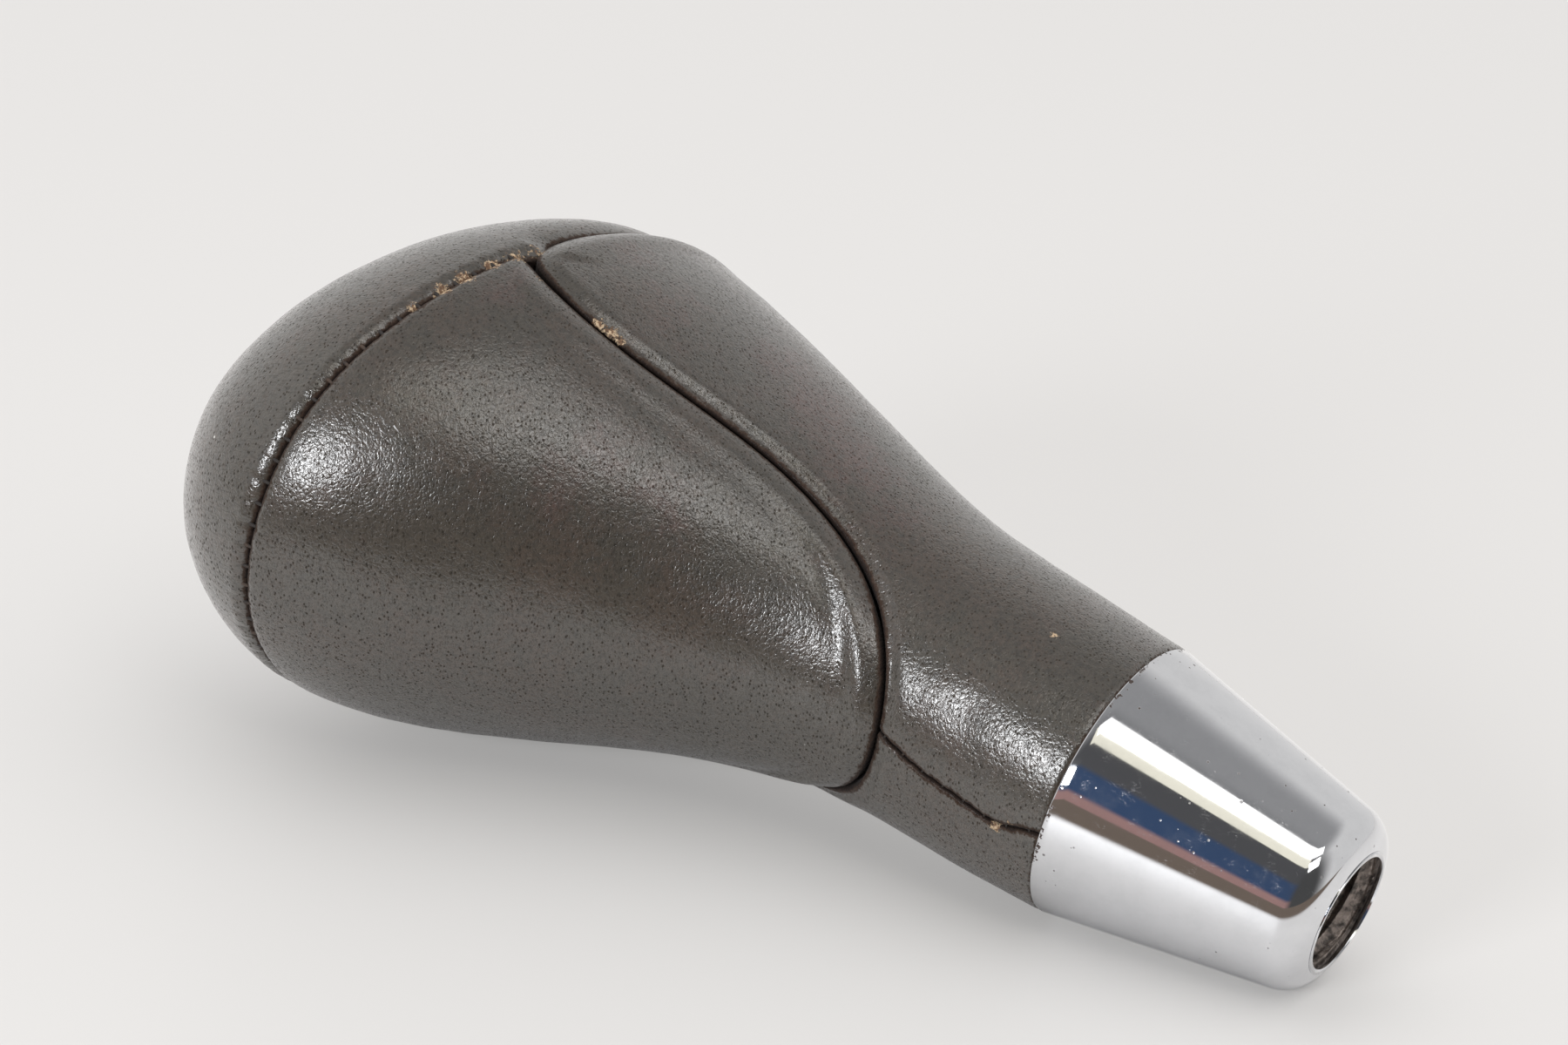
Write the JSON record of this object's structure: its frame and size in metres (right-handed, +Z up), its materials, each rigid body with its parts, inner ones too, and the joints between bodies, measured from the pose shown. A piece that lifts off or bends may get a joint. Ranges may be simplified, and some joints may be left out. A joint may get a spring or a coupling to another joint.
{
  "type": "gear shift knob",
  "caption": "Pear-shaped gear shift knob covered in sewn leather panels, with a tapered chrome ferrule and a threaded hole for the lever.",
  "frame": {"origin": "centre of the part's footprint on the surface that it lies on", "axes": "+X along the knob towards the ferrule's nose, +Z up; the rear panel faces -Y"},
  "size_m": [0.1092, 0.0584, 0.048],
  "materials": {
    "core_plastic": "moulded, matt black",
    "sleeve_steel": "tapped steel, dark and greasy",
    "ferrule_chrome": "bright chrome plate, scratched and pitted",
    "grey_leather": "worn semi-gloss dark grey leather with fine pores"
  },
  "bodies": {
    "root": {"grip_core": "core_plastic", "lever_sleeve": "sleeve_steel", "chrome_ferrule": "ferrule_chrome", "crown_panel": "grey_leather", "rear_panel": "grey_leather", "front_panel": "grey_leather"}
  },
  "joints": []
}
